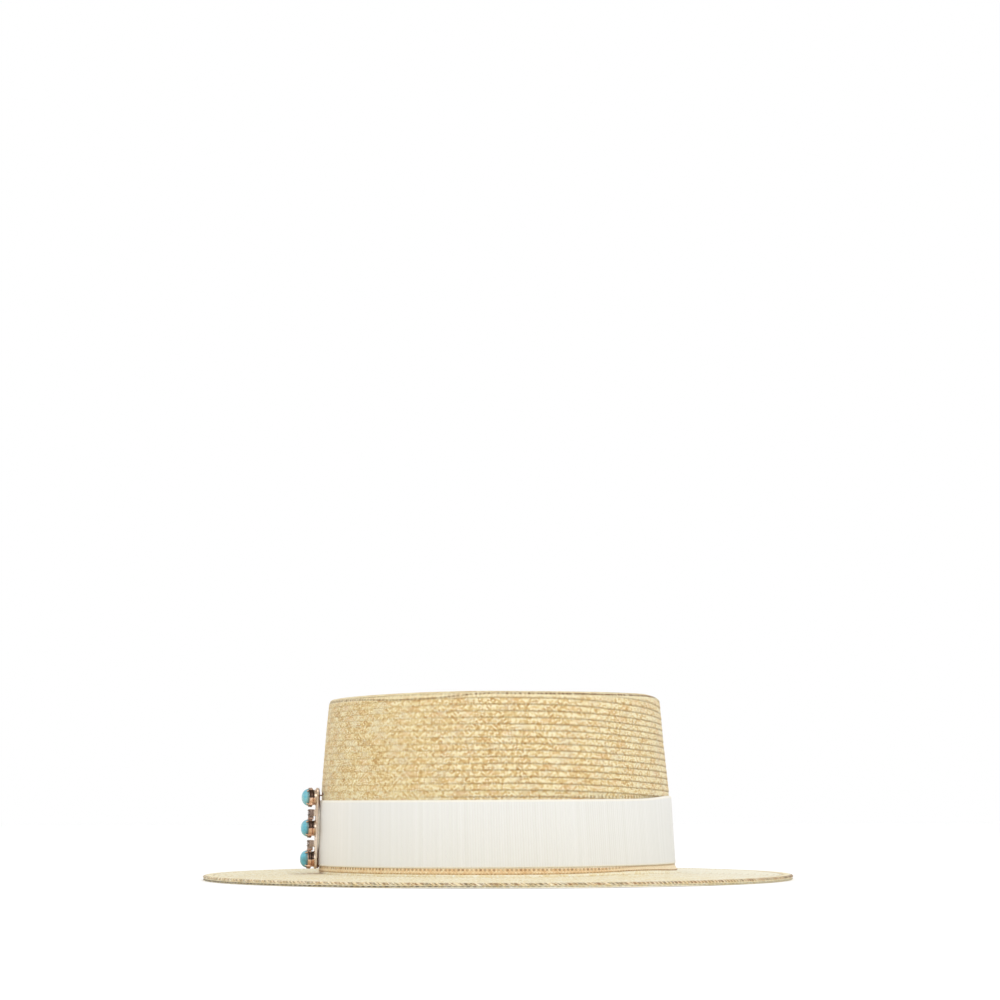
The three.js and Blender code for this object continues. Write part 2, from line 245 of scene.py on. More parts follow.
class Net:
    """One node material, whose colour is painted in layers."""

    def __init__(self, name):
        self.material = bpy.data.materials.new(name)
        self.material.use_nodes = True
        self.tree = self.material.node_tree
        self.tree.nodes.clear()
        self.colour = None

    def node(self, kind, inputs=(), **settings):
        """A new node with its settings, and with values or links on the inputs that are named or numbered."""
        node = self.tree.nodes.new("ShaderNode" + kind)
        for key, value in settings.items():
            setattr(node, key, value)
        for name, value in dict(inputs).items():
            self.plug(value, node.inputs[name])
        return node

    def signal(self, kind, inputs, output=0, **settings):
        return Signal(self, self.node(kind, inputs, **settings).outputs[output])

    def plug(self, value, socket):
        """Sets or links an input. A tuple is an sRGB colour."""
        if isinstance(value, Signal):
            value = value.socket
        if isinstance(value, bpy.types.NodeSocket):
            self.tree.links.new(value, socket)
        else:
            socket.default_value = linear(value) if isinstance(value, tuple) else value

    def split(self, vector):
        return [Signal(self, socket) for socket in self.node("SeparateXYZ", {0: vector}).outputs]

    def uv(self):
        """The two coordinates that a mesh carries in its braid layer."""
        return self.split(self.node("UVMap", uv_map="braid").outputs[0])[:2]

    def position(self):
        """A point in the object's own coordinates, in millimetres, and its three numbers."""
        metres = self.node("TexCoord").outputs["Object"]
        point = self.node("VectorMath", {0: metres, "Scale": 1 / MM}, operation="SCALE").outputs[0]
        return point, self.split(point)

    def noise(self, at, scale, detail=2.0, roughness=0.5, distortion=0.0):
        """Noise over a number, or over a point in space, from 0 to 1 about 0.5."""
        size, kind = ("1D", "W") if isinstance(at, Signal) else ("3D", "Vector")
        shape = {"Scale": scale, "Detail": detail, "Roughness": roughness, "Distortion": distortion}
        return self.signal("TexNoise", {kind: at, **shape}, noise_dimensions=size)

    def chance(self, at):
        """A different number from 0 to 1 for each value."""
        return self.signal("TexWhiteNoise", {"W": at}, "Value", noise_dimensions="1D")

    def ramp(self, at, stops):
        """A colour by a number. Each stop is a place and an sRGB colour."""
        node = self.node("ValToRGB", {0: at})
        elements = node.color_ramp.elements
        while len(elements) < len(stops):
            elements.new(0.5)
        for element, (where, colour) in zip(elements, stops):
            element.position = where
            element.color = linear(colour)
        return node.outputs[0]

    def blend(self, share, low, high, kind="MIX"):
        """Mixes two colours by a share, which the node holds from 0 to 1."""
        return self.node("Mix", {0: share, 6: low, 7: high}, data_type="RGBA", blend_type=kind).outputs[2]

    def paint(self, share, colour, kind="MIX"):
        """Lays a colour over the material's colour so far."""
        self.colour = self.blend(share, self.colour, colour, kind)

    def relief(self, height, depth):
        """A surface normal from a height whose 0 to 1 stands for depth millimetres."""
        return self.node("Bump", {"Strength": 1, "Distance": depth * MM, "Height": height}).outputs[0]

    def finish(self, **values):
        """Ends the material in one shader. Names are the shader's inputs, with _ for a space."""
        inputs = {name.replace("_", " "): value for name, value in values.items()}
        shader = self.node("BsdfPrincipled", {"Base Color": self.colour, **inputs})
        self.node("OutputMaterial", {"Surface": shader.outputs[0]})
        return self.material


class Straw(Net):
    """Plaited straw, whose splints cross over and under each other at 45 degrees along each row of braid."""

    def __init__(self, name, splint, row=ROW_PITCH):
        super().__init__(name)
        self.along, self.across = self.uv()
        self.place = self.position()[1]
        rising = (self.along + self.across * row) / splint
        falling = (self.along - self.across * row) / splint + 0.5
        first, second = rising.floor(), falling.floor()
        over = (((first + second) * 0.5).fract() * 2).between(0.4, 0.6)
        self.hump = over.mix(rising.bump(), falling.bump())
        self.strand = over.mix(self.chance(first + 0.5), self.chance(second + 0.25))
        self.crossing = self.chance(first * 57 + second + 0.1)
        self.fibre = self.noise(over.mix(rising, falling), 9.0, detail=1)
        self.spot = over.mix(first, second) * splint

    def tint(self):
        """How dark a splint is: by slow patches, by strand and by crossing."""
        return self.noise(self.spot, 0.09, 3, 0.6) * 0.6 + self.strand * 0.2 + self.crossing * 0.2

    def close(self, depth=0.16, gloss=0.5):
        """Ends the material with the relief and the shader that all straw shares."""
        normal = self.relief(self.hump * 0.8 + self.fibre * 0.2, depth)
        looks = {"Specular_IOR_Level": 0.4, "Sheen_Weight": 0.1, "Sheen_Roughness": 0.5}
        return self.finish(Normal=normal, Roughness=self.strand * 0.2 + gloss, **looks)


def dots(along, pitch, uneven):
    """Dark dots along an edge, from 0 to 1, stronger in some places than others."""
    return (along / pitch).bump().between(0.35, 0.95) * (uneven * 0.6 + 0.4)


CROWN_SPLINT = 1.2
BRIM_SPLINT = 1.6
FOOT_SPLINT = 1.5
FOOT_WIDTH = 5.0
CROWN_STOPS = [
    (0.2, (249, 241, 204)), (0.4, (240, 225, 174)), (0.52, (231, 210, 154)), (0.64, (221, 190, 128)),
    (0.85, (197, 155, 92)),
]
# The brim's colours, paler than the crown's partly as painted sheen.
BRIM_TONE_AND_SHEEN_STOPS = [
    (0.25, (246, 243, 226)), (0.45, (241, 233, 204)), (0.6, (235, 222, 182)), (0.8, (224, 203, 154)),
]
FOOT_STOPS = [
    (0.25, (248, 236, 204)), (0.45, (241, 220, 180)), (0.6, (234, 204, 158)), (0.85, (216, 174, 122)),
]
EDGE_STOPS = [
    (0.25, (246, 241, 218)), (0.45, (240, 230, 196)), (0.6, (232, 216, 170)), (0.85, (216, 188, 134)),
]
EDGE_DASH_STOPS = [(0.4, (86, 68, 36)), (0.6, (134, 88, 44))]
# Painted shade in the hollows between splints, multiplied over the colour.
GROOVE_SHADE = (178, 134, 84)

# Heights at which painted lines start, are full, fade and end.
LAST_ROW_DOTS = (45.0, 45.4, 46.3, 46.8)
FOOT_DOTS = (6.5, 6.9, 7.7, 8.1)
FOOT_DOTS_BACK = (7.8, 8.1, 8.7, 9.0)
EDGE_DASHES = (1.35, 1.65, 2.65, 2.85)
EDGE_SEAM = (0.25, 0.45, 0.85, 1.1)

# Depths below the crown's top, in the same way, and how the front's line drops.
SHOULDER_SHEEN = (0.1, 0.4, 2.5, 4.0)
RIM_LINE = (0.6, 0.9, 1.5, 1.9)
RIM_LINE_FRONT = (0.9, 1.2, 1.6, 1.9)
RIM_LINE_DROP = 2.4
RIM_LINE_RETURN = 1.4


def paint_rim(net, oval, on_side, uneven):
    """Paints the crown's pale shoulder as painted sheen, and its first side row's line and the dots of its
    last row, which are partly painted shade under the row edges.
    """
    _, y, z = net.place
    front = (y / -HALF_LENGTH).larger(0).math("POWER", TIP_DROP_POWER) * TIP_DROP
    below = y.between(0, 90) * TIP_RISE - front - z + CROWN_HEIGHT
    # Painted sheen: a paler band on the rounded shoulder at the top.
    net.paint(below.band(*SHOULDER_SHEEN) * oval.between(0.96, 1.0) * 0.5, (244, 236, 198))
    # Dark dotted row lines at the rim and above the ribbon: partly painted shade under the row edges.
    dropped = below - y.between(-20, -58) * RIM_LINE_DROP + y.between(-68, -92) * RIM_LINE_RETURN
    rim = dropped.band(*RIM_LINE) * (y.between(-20, 30) * 0.4 + 0.6)
    rim = (rim + below.band(*RIM_LINE_FRONT) * y.between(-20, -50) * 0.3) * on_side
    last = z.band(*LAST_ROW_DOTS) * y.between(-70, -20)
    dotted = (rim * 0.8).larger(last * 0.6) * dots(net.along, 2.2, uneven)
    net.paint(rim * (uneven * 0.5 + 0.2) + dotted, (128, 92, 50))


def crown_material():
    """Golden plaited straw: mottled rows with dark toothed edges that are faint at the front of the hat,
    partly painted shade under each overlapping row edge.
    """
    net = Straw("plaited_straw", CROWN_SPLINT)
    along, across, (x, y, z) = net.along, net.across, net.place
    mottle = y.between(-90, -20) * 0.2 + 0.44
    tint = net.noise(net.spot, 0.12, detail=1) * 0.5 + net.strand * 0.2 + (net.crossing - 0.5) * mottle
    paler = y.between(-90, 90) * 0.11 + z.between(54, 47) * 0.07
    net.colour = net.ramp(tint - paler + 0.165, CROWN_STOPS)
    net.paint(net.noise(net.spot + 400, 0.1).between(0.52, 0.66) * 0.4, (236, 232, 206))
    net.paint(net.noise(net.spot + 900, 0.12).between(0.55, 0.7) * 0.42, (224, 178, 118))
    uneven = net.noise(along, 0.35).between(0.25, 0.75)
    wavy = across + (net.noise(along, 0.3) - 0.5) * 0.3
    # Row edges: partly painted shade under the overlapping edge of the row above, with the real gaps between
    # its teeth; strong at the back, faint at the front.
    edge = wavy.between(0.76, 0.93).larger(across.between(0.18, 0.06))
    ahead = (y - SHOULDER_LEAN) / (TIP_REACH + HALF_LENGTH - HALF_WIDTH)
    oval = x * x / TIP_REACH**2 + ahead * ahead
    on_side = oval.between(1.008, 1.024)
    strong = on_side.mix(0.5, y.between(-82, 0)) * 0.46 + 0.16
    net.paint(edge * strong * (dots(along, 1.5, uneven) * 0.5 + 0.5), (142, 100, 42))
    paint_rim(net, oval, on_side, uneven)
    # Painted shade in the hollows between the splints' humps.
    net.paint(net.hump.between(0.62, 0.1) * 0.72, (176, 132, 84), "MULTIPLY")
    return net.close()


def brim_material():
    """The brim's straw: faintly golden, and pale cream that is partly painted sheen on its upward face, with
    soft row edges of partly painted shade and a painted shade under the brooch.
    """
    net = Straw("pale_straw", BRIM_SPLINT)
    x, y, _ = net.place
    # The pale cream of these stops is partly painted sheen of the upward-facing brim.
    net.colour = net.ramp(net.tint(), BRIM_TONE_AND_SHEEN_STOPS)
    net.paint(y.between(60, 120) * 0.5, (246, 244, 230))
    # Soft row edges: partly painted shade under the overlapping edge of the row above.
    edge = net.across.between(0.88, 0.97).larger(net.across.between(0.12, 0.02))
    uneven = net.noise(net.along, 0.25).between(0.25, 0.75)
    net.paint(edge * (uneven * 0.25 + 0.12), (186, 150, 96))
    net.paint((-y).band(96, 104, 112, 124) * abs(x).between(14, 5) * 0.5, (186, 150, 112))
    # Painted shade in the hollows between the splints' humps.
    net.paint(net.hump.between(0.5, 0.0) * 0.18, GROOVE_SHADE, "MULTIPLY")
    return net.close(0.1, 0.55)


def foot_material():
    """The crown's last rows: deeper gold, paler at the back as painted light where the fold turns up, with
    brown dots below the ribbon and at the last edge that are partly painted shade.
    """
    net = Straw("golden_straw", FOOT_SPLINT, FOOT_WIDTH)
    along, (_, y, z) = net.along, net.place
    back = y.between(35, 65)
    tint = net.noise(net.spot, 0.12, 3, 0.6) * 0.5 + net.strand * 0.18 + net.crossing * (back * 0.2 + 0.16)
    net.colour = net.ramp(tint + y.between(-70, -40) * 0.08 + 0.08, FOOT_STOPS)
    uneven = net.noise(along, 0.2).between(0.3, 0.7)
    # Painted light: paler at the back, where the fold turns up towards the light.
    net.paint(back * 0.75, (250, 236, 204))
    net.paint(z.between(7.7, 8.1) * back.mix(0.8, 0.0), (250, 243, 226))
    # Dots just below the ribbon: partly painted shade under its lower edge.
    upper = z.band(*[back.mix(front, behind) for front, behind in zip(FOOT_DOTS, FOOT_DOTS_BACK)])
    net.paint(upper * back.mix(dots(along, 2.2, uneven), 0.4) * 0.85, (146, 102, 62))
    # Dots at the last edge: partly painted shade in the gaps between its teeth.
    lower = net.across.between(0.82, 0.97)
    net.paint(lower * (dots(along, 1.9, uneven) * 0.4 + back * 0.3 + 0.4), (160, 116, 60))
    # Painted shade in the hollows between the splints' humps.
    net.paint(net.hump.between(0.6, 0.0) * 0.3, GROOVE_SHADE, "MULTIPLY")
    return net.close()


def edge_material():
    """The brim's doubled edge: cream straw with brown dashes between its teeth, partly painted shadow in the
    gaps, a dark seam below them and painted light along its foot in the middle.
    """
    net = Straw("edge_straw", BRIM_SPLINT)
    along, (_, y, z) = net.along, net.place
    net.colour = net.ramp(net.tint(), EDGE_STOPS)
    uneven = net.noise(along, 0.16).between(0.3, 0.7)
    # Brown band and dashes between the teeth: partly painted shadow in the gaps between scallops.
    tooth_gaps_and_shade = z.band(*EDGE_DASHES)
    net.paint(tooth_gaps_and_shade * (uneven * 0.25 + y.between(0, 70) * 0.15 + 0.12), (206, 160, 104))
    slanted = along + z * 0.6 + (uneven - 0.5) * 0.6
    comb = (slanted / EDGE_TOOTH).bump().between(0.3, 0.85) * (uneven * 0.35 + 0.65)
    dashes = net.noise(along + z * 2, 0.42).between(0.4, 0.52) * (comb * 0.4 + 0.5)
    dashes = dashes * y.between(-140, -60).mix(0.7, 0.95)
    tone = net.ramp(net.noise(along, 0.1), EDGE_DASH_STOPS)
    net.paint(tooth_gaps_and_shade * y.between(25, 60).mix(dashes, comb * 0.82), tone)
    # Painted light: very pale along the edge's foot in the middle, over the contact shade against the floor.
    middle = abs(y).between(100, 55)
    net.paint(middle * z.between(0.6, 0.3) * 0.8, (252, 248, 238))
    broken = dots(along + 1.1, EDGE_TOOTH * 1.3, uneven) * 0.35 + 0.5
    strong = y.between(20, -60) * 0.5 - middle * 0.2 + 0.8
    net.paint((z - middle * 0.2).band(*EDGE_SEAM) * broken * strong, (80, 64, 46))
    return net.close(0.1)


def ribbon_material():
    """Off-white grosgrain: fine upright ribs with faintly shaded grooves, soft sheen and pale selvedges."""
    net = Net("grosgrain")
    along, across = net.uv()
    point, (_, y, _) = net.position()
    rib = (along + 0.5).bump()
    net.colour = net.ramp(net.noise(along, 0.5), [(0.3, (222, 222, 219)), (0.7, (226, 226, 224))])
    net.paint(y.between(-84, -99) * 0.3, (246, 240, 230))
    shown = net.noise(along, 0.03, detail=1).between(0.35, 0.6) * abs(y).between(66, 36)
    net.paint(rib.between(0.5, 0.0) * (shown * 0.34 + 0.01), (206, 200, 190))
    selvedge = across.between(0.035, 0.0).larger(across.between(0.96, 0.985))
    net.paint(selvedge * 0.6, (244, 238, 222))
    threads = (across * 130).bump() * 0.3 + net.noise(point, 9.0, detail=1) * 0.3
    normal = net.relief(rib * 0.6 + threads, 0.02)
    looks = {"Roughness": 0.7, "Sheen_Weight": 0.15, "Sheen_Roughness": 0.4, "Specular_IOR_Level": 0.25}
    return net.finish(Normal=normal, **looks)


def gold_material():
    """Polished rose gold, paler on the bar, with a painted dark reflection above each stone and greyish on
    the square settings.
    """
    net = Net("rose_gold")
    point, (_, y, z) = net.position()
    cloud = net.noise(point, 0.45, detail=3)
    lower = z.between(BAR_MIDDLE + 12, BAR_MIDDLE - 12)
    above = (((z - BAR_MIDDLE) / STONE_PITCH + 0.5).fract() - 0.5) * STONE_PITCH
    copper = net.ramp(cloud, [(0.3, (196, 146, 116)), (0.55, (224, 184, 156)), (0.75, (244, 218, 198))])
    grey = net.ramp(cloud, [(0.3, (104, 86, 76)), (0.7, (164, 142, 128))])
    grey = net.blend(lower * 0.6, grey, (172, 152, 136))
    net.colour = net.blend(abs(above).between(5.4, 6.0), copper, grey)
    # Painted reflection: the cups' upper parts darkened as if mirroring dark surroundings.
    dark_reflection = (above + (cloud - 0.5) * 1.4).band(-0.4, 0.3, 4.0, 4.6) * (-y).between(109.7, 109.2)
    net.paint(dark_reflection * 0.95, (46, 32, 26))
    net.paint(abs(above).band(4.3, 4.9, 5.7, 6.2) * 0.5, (110, 92, 84))
    bar = net.ramp(net.noise(point, 0.25), [(0.3, (190, 166, 144)), (0.7, (216, 196, 174))])
    bar = net.blend(lower * 0.8, bar, (236, 220, 202))
    net.colour = net.blend((-y).between(105.6, 106.3), bar, net.colour)
    normal = net.relief(net.noise(point, 6.0, detail=3), 0.012)
    return net.finish(Normal=normal, Metallic=0.85, Roughness=cloud * 0.2 + 0.15)


def wire_material():
    """Dark plain wire, brown at its ends and paler along its middle, where the paleness is painted light."""
    net = Net("pin_wire")
    point, (_, _, z) = net.position()
    cloud = net.noise(point, 0.8, detail=3)
    dark = net.ramp(cloud, [(0.3, (88, 48, 28)), (0.7, (124, 86, 58))])
    pale = net.ramp(cloud, [(0.3, (244, 238, 216)), (0.7, (255, 252, 240))])
    # Painted light: the middle, which lies in shade in front of the pale ribbon, is painted pale.
    net.colour = net.blend(abs(z - BAR_MIDDLE).between(13.0, 8.0), dark, pale)
    return net.finish(Normal=net.relief(net.noise(point, 4.0), 0.02), Metallic=0.0, Roughness=0.45)


def turquoise_material():
    """Polished blue-green stone with clouds of colour, fine veins and a dark girdle."""
    net = Net("turquoise")
    point, (_, y, z) = net.position()
    cloud = net.noise(point, 0.22, 4, 0.6, 0.4)
    net.colour = net.ramp(cloud, [(0.3, (72, 146, 158)), (0.5, (88, 180, 202)), (0.7, (140, 192, 190))])
    vein = abs(net.noise(point, 0.3, 5, 0.65, 1.2) - 0.5)
    net.paint(vein.between(0.012, 0.0) * 0.55, (84, 92, 84))
    out = (z - BAR_MIDDLE) * BROOCH_SLOPE - y
    net.paint(out.between(111.0, 109.6) * 0.75, (84, 84, 66))
    looks = {"Roughness": 0.14, "Specular_IOR_Level": 0.6, "Coat_Weight": 0.4, "Coat_Roughness": 0.05}
    return net.finish(Normal=net.relief(cloud, 0.02), **looks)


def crystal_material():
    """Clear cut stone with a faint pink cast."""
    net = Net("cut_stone")
    cloud = net.noise(net.position()[0], 0.9)
    net.colour = net.ramp(cloud, [(0.35, (236, 214, 216)), (0.65, (250, 240, 240))])
    return net.finish(Roughness=0.03, IOR=1.9, Transmission_Weight=0.75, Specular_IOR_Level=0.8)


# The crown

def wall_at(height):
    """Where the wall's outer face is at a height: its offset from the foot's oval, and its centre's y."""
    share = np.clip(height / CROWN_HEIGHT, 0, 1)
    inset = np.interp(share, WALL_HEIGHT, WALL_INSET)
    lean = np.interp(share, WALL_HEIGHT, WALL_LEAN)
    return -TOP_INSET * inset, -TOP_LEAN * lean


SHOULDER_HEIGHT = CROWN_HEIGHT - SHOULDER_RADIUS
SHOULDER_INSET, SHOULDER_LEAN = wall_at(SHOULDER_HEIGHT)
TIP_REACH = HALF_WIDTH + SHOULDER_INSET - SHOULDER_RADIUS
SIDE_START = TIP_REACH + SHOULDER_RADIUS * math.pi / 2


def on_oval(angle, offset, height, lean):
    """A point on the oval that is offset out from the foot's."""
    x = (HALF_WIDTH + offset) * np.cos(angle)
    y = (HALF_LENGTH + offset) * np.sin(angle) + lean
    return np.stack(np.broadcast_arrays(x, y, height), axis=-1)


def tip_sway(angle, travel, height):
    """How much higher the crown's top is at the back than level, and how much lower at the front."""
    ahead = np.sin(angle)
    front = TIP_DROP * np.maximum(-ahead, 0) ** TIP_DROP_POWER
    back = TIP_RISE * np.maximum(ahead, 0) * (1 - TIP_RISE_END * smooth(0.8, 1, ahead))
    upper = smooth(TIP_SWAY_HEIGHT, SHOULDER_HEIGHT, height)
    return (back - front) * np.clip(travel / TIP_REACH, 0, 1) ** 2 * upper


def on_crown(angle, travel, out):
    """A point out from the crown's face, at a travel from its tip's middle over the shoulder and down."""
    bend = np.clip((travel - TIP_REACH) / SHOULDER_RADIUS, 0, math.pi / 2)
    down = np.maximum(travel - SIDE_START, 0)
    inset, lean = wall_at(SHOULDER_HEIGHT - down)
    on_side = travel > SIDE_START
    arc_offset = TIP_REACH - HALF_WIDTH + SHOULDER_RADIUS * np.sin(bend)
    offset = np.where(on_side, inset, arc_offset + np.minimum(travel - TIP_REACH, 0))
    height = np.where(on_side, SHOULDER_HEIGHT - down, SHOULDER_HEIGHT + SHOULDER_RADIUS * np.cos(bend))
    offset = np.maximum(offset + out * np.sin(bend), -HALF_WIDTH)
    height = height + tip_sway(angle, travel, height)
    return on_oval(angle, offset, height + out * np.cos(bend), np.where(on_side, lean, SHOULDER_LEAN))


def dip_at(angle, travel):
    """How much further down a row lies at the back and the front than at the sides."""
    dip = np.where(np.sin(angle) > 0, DIP_BACK, DIP_FRONT) * np.sin(angle) ** 2
    more = np.where(np.sin(angle) > 0, DIP_TOP_BACK, DIP_TOP_FRONT)
    near_top = 1 + more * np.exp(-(((travel - SIDE_START) / DIP_TOP_SPREAD) ** 2))
    return dip * near_top * smooth(TIP_REACH - DIP_START, TIP_REACH, travel)


# Rows of braid

# A row's section from its upper edge under the row above, as shares of the row and how far it stands out.
SIDE_SECTION = ((0.0, -0.15), (0.14, -0.02), (0.42, 0.1), (0.74, 0.16), (0.95, 0.08))
FLAT_SECTION = ((0.0, -0.3), (0.16, -0.02), (0.55, 0.16), (0.93, 0.1))
INNER_SECTION = ((0.0, -0.1), (0.5, 0.12))
UNDER_SECTION = ((0.0, -0.06), (0.5, 0.08))

# How strongly splints, teeth and the row's slow unevenness show in its shape.
PLAIT_OUTSIDE = 0.07
PLAIT_INSIDE = 0.03
PLAIT_UNDER = 0.02
PLAIT_SLANT = 0.9
SCALLOP = 0.22
UNEVEN_STAND = 0.05
UNEVEN_EDGE = 0.13
RELIEF_FADE = 0.6


def row_waves(length):
    """A slow unevenness of a row along its length, from about -1 to 1."""
    short = 0.55 * np.sin(length / 17.3 + 1.1) + 0.3 * np.sin(length / 7.9)
    return short + 0.35 * np.sin(length / 41.0 + 2.3)


def oval_length(offset):
    """The way round an oval of the hat's family."""
    a, b = max(HALF_WIDTH + offset, 0.01), HALF_LENGTH + offset
    h = ((a - b) / (a + b)) ** 2
    return math.pi * (a + b) * (1 + 3 * h / (10 + math.sqrt(4 - 3 * h)))


class Face:
    """A face of the hat that rows of braid run round, at a travel along its section."""

    def __init__(self, lengths, out=0.0, side=1.0):
        self.starts = np.concatenate([[0], np.cumsum(lengths)])
        self.out, self.side = out, side

    def length(self, turns):
        return np.interp(turns, np.arange(len(self.starts)), self.starts)

    def cut(self, level, first, last):
        """Holds rows between two curves, and says how much of their relief shows there."""
        fade = smooth(0, RELIEF_FADE, level - first)
        level = np.maximum(level, first)
        return np.minimum(level, last), fade * smooth(0, RELIEF_FADE, last - level)


def braid_sheet(body, face, from_row, rows, columns, section, plait=PLAIT_OUTSIDE, locked=False):
    """Adds a helix of braid rows on a face and returns its points as rings of columns."""
    steps = len(section)
    across, stand = np.array(section).T
    ring = np.arange(rows * steps + 1)
    row = (from_row + ring // steps)[:, None]
    inside = across[ring % steps][:, None]
    column = np.arange(columns + 1)[None, :]
    angle = SEAM_ANGLE + 2 * math.pi * column / columns
    turns = row + column / columns
    length = face.length(turns)
    tooth = (row * columns + column) / TOOTH_COLUMNS if locked else length / TOOTH
    wave = np.cos(2 * math.pi * (tooth + PLAIT_SLANT * np.abs(inside - 0.5)))
    relief = stand[ring % steps][:, None] + plait * wave * (inside > 0)
    relief = relief + UNEVEN_STAND * row_waves(length * 1.7)
    teeth = SCALLOP * np.cos(2 * math.pi * tooth) * smooth(0.6, 0.95, inside)
    travel, fade = face.travel(angle, turns + inside, teeth + UNEVEN_EDGE * row_waves(length))
    points = face.point(angle, travel, face.out + face.side * relief * fade)
    faces = grid_faces(len(ring), columns + 1, closed=False)
    body.add(points, faces, braid_uvs(face, from_row, columns, across, faces))
    return points


def braid_uvs(face, from_row, columns, across, faces):
    """UVs for the faces of a helix: along the braid in millimetres, and across its row from 0 to 1."""
    ring, column = faces[:, 0] // (columns + 1), faces[:, 0] % (columns + 1)
    row, step = from_row + ring // len(across), ring % len(across)
    left = face.length(row + column / columns)
    right = face.length(row + (column + 1) / columns)
    return cell_uvs(left, right, across[step], np.append(across[1:], 1.0)[step])


def join(body, first, second):
    """Closes the gap between two lines of points, repeating the shorter line's points."""
    count = max(len(first), len(second))
    lines = [line[np.round(np.linspace(0, len(line) - 1, count)).astype(int)] for line in (first, second)]
    body.add(np.stack(lines), grid_faces(2, count, closed=False))


def close_start(body, outer, inner, steps):
    """Closes the wall at the first end of a braid, one row long."""
    join(body, outer[:steps + 1, 0], inner[:len(INNER_SECTION) + 1, 0])


def close_end(body, outer, inner, steps):
    """Closes the wall at the last end of a braid, one row long."""
    join(body, outer[-steps - 1:, -1], inner[-len(INNER_SECTION) - 1:, -1])


# Where the crown's helix starts, so that a row's edge passes the line measured near the hat's side.
FIRST_TRAVEL = SIDE_START + SHOULDER_HEIGHT - FIRST_LINE
FIRST_TURN = (FIRST_LINE_ANGLE - SEAM_ANGLE) / (2 * math.pi) % 1
CROWN_ROWS_ABOVE = math.ceil(FIRST_TRAVEL / ROW_PITCH) + 1
FIRST_DIP = float(dip_at(FIRST_LINE_ANGLE, FIRST_TRAVEL))
CROWN_START = FIRST_TRAVEL - FIRST_DIP - ROW_PITCH * (CROWN_ROWS_ABOVE + FIRST_TURN)
TIP_ROWS = 20
CROWN_COLUMNS = 602
CROWN_ROWS = 56
HIDDEN_HEIGHT = 9.0
SIDE_ROWS = 18
HIDDEN_ROWS = 12
CALM_MIDDLE = 8.0
SHOULDER_FADE = 4.0
FRONT_RELIEF = 0.6
FRONT_FLAT = -0.6
FRONT_FULL = 0.2
CROWN_LENGTHS = [
    oval_length(min(max(CROWN_START + ROW_PITCH * (row + 0.5), 0) - HALF_WIDTH, float(SHOULDER_INSET)))
    for row in range(CROWN_ROWS)
]


class CrownFace(Face):
    """The crown's outer or inner face, from the middle of its tip to the height where it ends."""

    foot = SIDE_START + SHOULDER_HEIGHT - HIDDEN_HEIGHT

    def __init__(self, out=0.0, side=1.0):
        super().__init__(CROWN_LENGTHS, out, side)

    def travel(self, angle, turns, drift):
        level = CROWN_START + ROW_PITCH * turns
        level = level + dip_at(angle, level) + drift * smooth(0, CALM_MIDDLE, level)
        level, fade = self.cut(level, 0.0, self.foot)
        on_top = smooth(SIDE_START + SHOULDER_FADE, SIDE_START, level)
        full = np.maximum(smooth(FRONT_FLAT, FRONT_FULL, np.sin(angle)), on_top)
        return level, fade * (FRONT_RELIEF + (1 - FRONT_RELIEF) * full)

    def point(self, angle, travel, out):
        return on_crown(angle, travel, out)


def crown_tip(material):
    """The flat top: rows of braid outside and inside, closed at their rim."""
    body = Body()
    face, inside = CrownFace(), CrownFace(-STRAW, -1.0)
    upper = braid_sheet(body, face, 0, TIP_ROWS, CROWN_COLUMNS, FLAT_SECTION)
    lower = braid_sheet(body, inside, 0, TIP_ROWS, CROWN_COLUMNS, INNER_SECTION, PLAIT_INSIDE)
    join(body, upper[-1], lower[-1])
    close_end(body, upper, lower, len(FLAT_SECTION))
    return body.make("crown_tip", material, ["crown"])


def crown_side(material):
    """The shoulder and side: braid down to the ribbon, plain rows behind it, and the wall's inside."""
    body = Body()
    face, inside = CrownFace(), CrownFace(-STRAW, -1.0)
    steps, rows, hidden_from = len(SIDE_SECTION), SIDE_ROWS + HIDDEN_ROWS, TIP_ROWS + SIDE_ROWS
    shown = braid_sheet(body, face, TIP_ROWS, SIDE_ROWS, CROWN_COLUMNS, SIDE_SECTION, locked=True)
    hidden = braid_sheet(body, face, hidden_from, HIDDEN_ROWS, CROWN_COLUMNS, SIDE_SECTION[:1])
    inner = braid_sheet(body, inside, TIP_ROWS, rows, CROWN_COLUMNS, INNER_SECTION, PLAIT_INSIDE)
    join(body, shown[0], inner[0])
    join(body, hidden[-1], inner[-1])
    close_start(body, shown, inner, steps)
    close_end(body, hidden, inner, 1)
    join(body, shown[-steps - 1:, -1], hidden[:2, 0])
    return body.make("crown_side", material, ["crown"])


# The brim

def brim_parts(angle):
    """Along the brim's section: where the collar ends, where the fold ends and where the edge row starts."""
    fold = np.minimum(FOLD_RADIUS + FOLD_VARIATION * np.sin(angle), JOIN_HEIGHT - BRIM_TOP - COLLAR_MIN)
    foot_inset, foot_lean = wall_at(BRIM_TOP + fold)
    collar = JOIN_HEIGHT - BRIM_TOP - fold
    bent = collar + fold * math.pi / 2
    return fold, foot_inset, foot_lean, collar, bent, bent + BRIM_WIDTH - EDGE_ROW - foot_inset - fold


